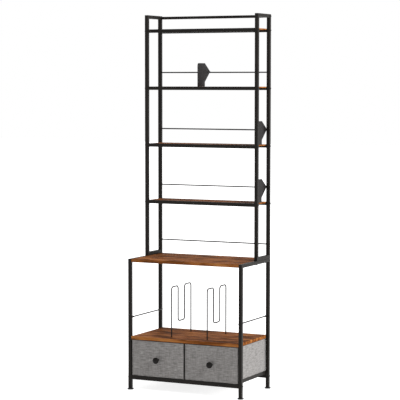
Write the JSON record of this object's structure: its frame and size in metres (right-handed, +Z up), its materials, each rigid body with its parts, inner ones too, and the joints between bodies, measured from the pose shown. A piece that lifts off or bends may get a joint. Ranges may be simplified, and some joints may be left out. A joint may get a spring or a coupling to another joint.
{
  "type": "media rack",
  "caption": "Tall media rack: narrow steel and wood shelf tower on a deeper cabinet with wire record dividers, fabric drawers, sliding bookends and levelling feet.",
  "frame": {"origin": "on the floor, at the middle of the overall width and depth", "axes": "+Z up along the height, -Y out of the front, +X to the right as seen from the front"},
  "size_m": [0.6134, 0.3628, 1.8],
  "materials": {
    "coated_steel": "fine matt powder coat, near black",
    "coated_wire": "satin powder coat on drawn wire",
    "coated_sheet": "satin powder coat on sheet steel",
    "wood_board": "matt rustic brown wood grain with knots",
    "grey_fabric": "plain woven grey cloth",
    "lining_fabric": "felted dark grey lining",
    "stiffener_board": "raw fibreboard",
    "knob_metal": "satin black enamel",
    "black_screw": "black oxide",
    "zinc_screw": "bright zinc",
    "black_plastic": "moulded, matt"
  },
  "bodies": {
    "frame": {"tower_side_frame_left": "coated_steel", "tower_side_frame_right": "coated_steel", "cabinet_side_frame_left": "coated_steel", "cabinet_side_frame_right": "coated_steel", "shelf_rail_front_1": "coated_steel", "shelf_rail_front_2": "coated_steel", "shelf_rail_front_3": "coated_steel", "shelf_rail_front_4": "coated_steel", "shelf_rail_back_1": "coated_steel", "shelf_rail_back_2": "coated_steel", "shelf_rail_back_3": "coated_steel", "shelf_rail_back_4": "coated_steel", "top_guard_rail": "coated_steel", "cabinet_rail_front": "coated_steel", "cabinet_rail_back": "coated_steel", "shelf_board_1": "wood_board", "shelf_board_2": "wood_board", "shelf_board_3": "wood_board", "shelf_board_4": "wood_board", "desk_board": "wood_board", "lower_board": "wood_board", "rear_rod_0": "coated_wire", "rear_rod_1": "coated_wire", "rear_rod_2": "coated_wire", "rear_rod_3": "coated_wire", "side_rod_left": "coated_wire", "side_rod_right": "coated_wire", "record_divider_left": "coated_wire", "record_divider_right": "coated_wire", "drawer_loop": "coated_wire", "joining_bolt_front_left": "black_screw", "joining_bolt_front_right": "black_screw", "joining_bolt_back_left": "black_screw", "joining_bolt_back_right": "black_screw", "foot_plug_front_left": "black_plastic", "foot_plug_front_right": "black_plastic", "foot_plug_back_left": "black_plastic", "foot_plug_back_right": "black_plastic"},
    "drawer_left": {"drawer_box_left": "grey_fabric", "drawer_floor_left": "lining_fabric", "drawer_front_board_left": "stiffener_board", "knob_left": "knob_metal", "knob_screw_left": "zinc_screw"},
    "drawer_right": {"drawer_box_right": "grey_fabric", "drawer_floor_right": "lining_fabric", "drawer_front_board_right": "stiffener_board", "knob_right": "knob_metal", "knob_screw_right": "zinc_screw"},
    "bookend_low": {"bookend_1": "coated_sheet"},
    "bookend_middle": {"bookend_2": "coated_sheet"},
    "bookend_high": {"bookend_3": "coated_sheet"},
    "leveller_front_left": {"foot_front_left": "black_plastic"},
    "leveller_front_right": {"foot_front_right": "black_plastic"},
    "leveller_back_left": {"foot_back_left": "black_plastic"},
    "leveller_back_right": {"foot_back_right": "black_plastic"}
  },
  "joints": [
    {"name": "drawer_left_slide", "type": "slide", "parent": "frame", "child": "drawer_left", "axis": [0, -1, 0], "range_m": [0, 0.24]},
    {"name": "drawer_right_slide", "type": "slide", "parent": "frame", "child": "drawer_right", "axis": [0, -1, 0], "range_m": [0, 0.24]},
    {"name": "bookend_low_slide", "type": "slide", "parent": "frame", "child": "bookend_low", "axis": [-1, 0, 0], "range_m": [0, 0.55]},
    {"name": "bookend_middle_slide", "type": "slide", "parent": "frame", "child": "bookend_middle", "axis": [-1, 0, 0], "range_m": [0, 0.55]},
    {"name": "bookend_high_slide", "type": "slide", "parent": "frame", "child": "bookend_high", "axis": [-1, 0, 0], "range_m": [-0.301, 0.249]},
    {"name": "leveller_front_left_screw", "type": "slide", "parent": "frame", "child": "leveller_front_left", "axis": [0, 0, -1], "range_m": [0, 0.01]},
    {"name": "leveller_front_right_screw", "type": "slide", "parent": "frame", "child": "leveller_front_right", "axis": [0, 0, -1], "range_m": [0, 0.01]},
    {"name": "leveller_back_left_screw", "type": "slide", "parent": "frame", "child": "leveller_back_left", "axis": [0, 0, -1], "range_m": [0, 0.01]},
    {"name": "leveller_back_right_screw", "type": "slide", "parent": "frame", "child": "leveller_back_right", "axis": [0, 0, -1], "range_m": [0, 0.01]}
  ]
}
